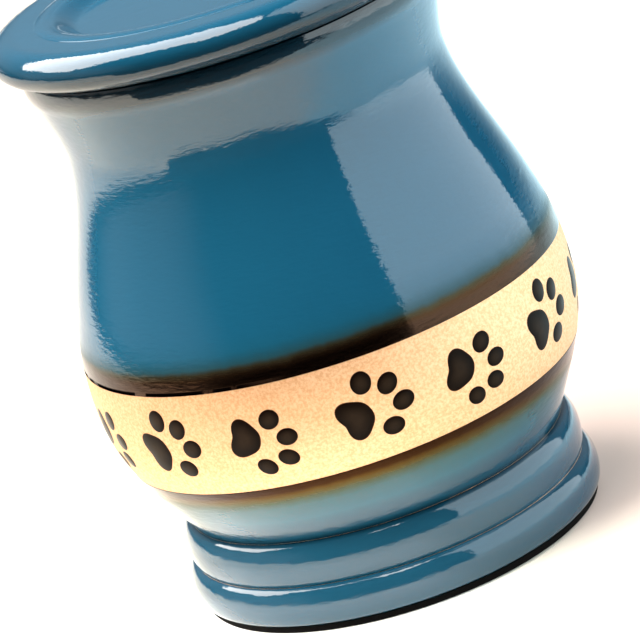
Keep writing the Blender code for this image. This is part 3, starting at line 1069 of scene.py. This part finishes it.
def make_shade_sheet():
    """A dark sheet of painted shade on the floor in front, which only shows in reflections."""
    shade_sheet = flat_sheet("dark_shade_sheet", [*SHADE_SHEET_FAR_CORNERS, *SHADE_SHEET_EDGE], SHADE_SHEET_LEVEL)
    dark, _, shader = start_material("dark_shade_sheet")
    shader.inputs["Base Color"].default_value = SHADE_SHEET_TONE
    shader.inputs["Roughness"].default_value = 1.0
    shade_sheet.data.materials.append(dark)
    for rays in ("camera", "shadow", "transmission", "volume_scatter"):
        setattr(shade_sheet, "visible_" + rays, False)


def make_panel(name, corner, across, upward, strength, colour):
    """A soft area light with one corner and two sides given, shining towards the urn's side."""
    corner, across, upward = (np.array(v, float) for v in (corner, across, upward))
    wide, tall = np.linalg.norm(across), np.linalg.norm(upward)
    middle = corner + across / 2 + upward / 2
    x_axis = across / wide
    z_axis = np.cross(across, upward)
    z_axis /= np.linalg.norm(z_axis)
    if z_axis @ middle < 0:
        x_axis, z_axis = -x_axis, -z_axis
    y_axis = np.cross(z_axis, x_axis)
    light = bpy.data.lights.new(name, "AREA")
    light.shape = "RECTANGLE"
    light.size = wide
    light.size_y = tall
    light.energy = strength * wide * tall * WATTS_PER_AREA
    light.color = colour
    made = bpy.data.objects.new(name, light)
    bpy.context.scene.collection.objects.link(made)
    turn = np.column_stack([x_axis, y_axis, z_axis, middle])
    made.matrix_world = Matrix([*turn.tolist(), [0.0, 0.0, 0.0, 1.0]])
    made.visible_camera = False
    return made


def make_world():
    """A plain white studio to look at. As light it is dark in front, bright low down behind, with
    a dimmer ceiling behind and a lit left side."""
    world = bpy.data.worlds.new("studio")
    bpy.context.scene.world = world
    world.use_nodes = True
    tree = world.node_tree
    tree.nodes.clear()
    _, way = axes(tree, "Generated")
    behind = smooth_step(tree, way["Y"], *WALL_Y)
    below = smooth_step(tree, way["Z"], *WALL_Z)
    wall = scaled(tree, times(tree, behind, below), WALL_LIGHT, WORLD_DARK)
    side = scaled(tree, smooth_step(tree, way["X"], *SIDE_X), SIDE_LIGHT)
    aloft = smooth_step(tree, way["Z"], *CEILING_Z)
    behind = smooth_step(tree, way["Y"], *CEILING_Y)
    ceiling = scaled(tree, times(tree, behind, aloft), CEILING_LIGHT)
    total = added(tree, added(tree, wall, side), ceiling)
    light = tree.nodes.new("ShaderNodeBackground")
    light.inputs["Color"].default_value = WORLD_COLOUR
    tree.links.new(total, light.inputs["Strength"])
    seen = tree.nodes.new("ShaderNodeBackground")
    seen.inputs["Color"].default_value = WORLD_SEEN_COLOUR
    seen.inputs["Strength"].default_value = 1.0
    path = tree.nodes.new("ShaderNodeLightPath")
    mix = tree.nodes.new("ShaderNodeMixShader")
    out = tree.nodes.new("ShaderNodeOutputWorld")
    tree.links.new(path.outputs["Is Camera Ray"], mix.inputs["Fac"])
    tree.links.new(light.outputs["Background"], mix.inputs[1])
    tree.links.new(seen.outputs["Background"], mix.inputs[2])
    tree.links.new(mix.outputs["Shader"], out.inputs["Surface"])


def make_box_light():
    """A large soft box overhead, behind the urn and to its left, as a glowing sheet facing down."""
    material, _, shader = start_material("box_light")
    shader.inputs["Base Color"].default_value = (*BLACK, 1.0)
    shader.inputs["Emission Color"].default_value = BOX_COLOUR
    shader.inputs["Emission Strength"].default_value = BOX_STRENGTH
    box = flat_sheet("box_light", BOX_OUTLINE, BOX_HEIGHT)
    box.data.materials.append(material)
    box.visible_camera = False


def make_side_panel():
    """A tall white panel standing on the right."""
    make_panel("side_panel", PANEL_CORNER, PANEL_ACROSS, PANEL_UPWARD, PANEL_STRENGTH, PANEL_COLOUR)


def make_front_fill():
    """A square light aimed at the urn from above in front, too matt to show in the gloss."""
    toward = np.array([
        math.sin(FILL_BEARING) * math.cos(FILL_ELEVATION),
        -math.cos(FILL_BEARING) * math.cos(FILL_ELEVATION),
        math.sin(FILL_ELEVATION),
    ])
    across = np.array([math.cos(FILL_BEARING), math.sin(FILL_BEARING), 0.0])
    upward = np.cross(toward, across)
    corner = toward * FILL_DISTANCE - (across + upward) * FILL_SIZE / 2
    sides = (across * FILL_SIZE, upward * FILL_SIZE)
    fill = make_panel("front_fill", corner, *sides, FILL_STRENGTH, FILL_COLOUR)
    fill.visible_glossy = False


make_camera()
make_body()
make_lid()
make_pad()
make_floor()
make_shade_sheet()
make_box_light()
make_side_panel()
make_front_fill()
make_world()
bpy.context.scene.view_settings.view_transform = "Standard"
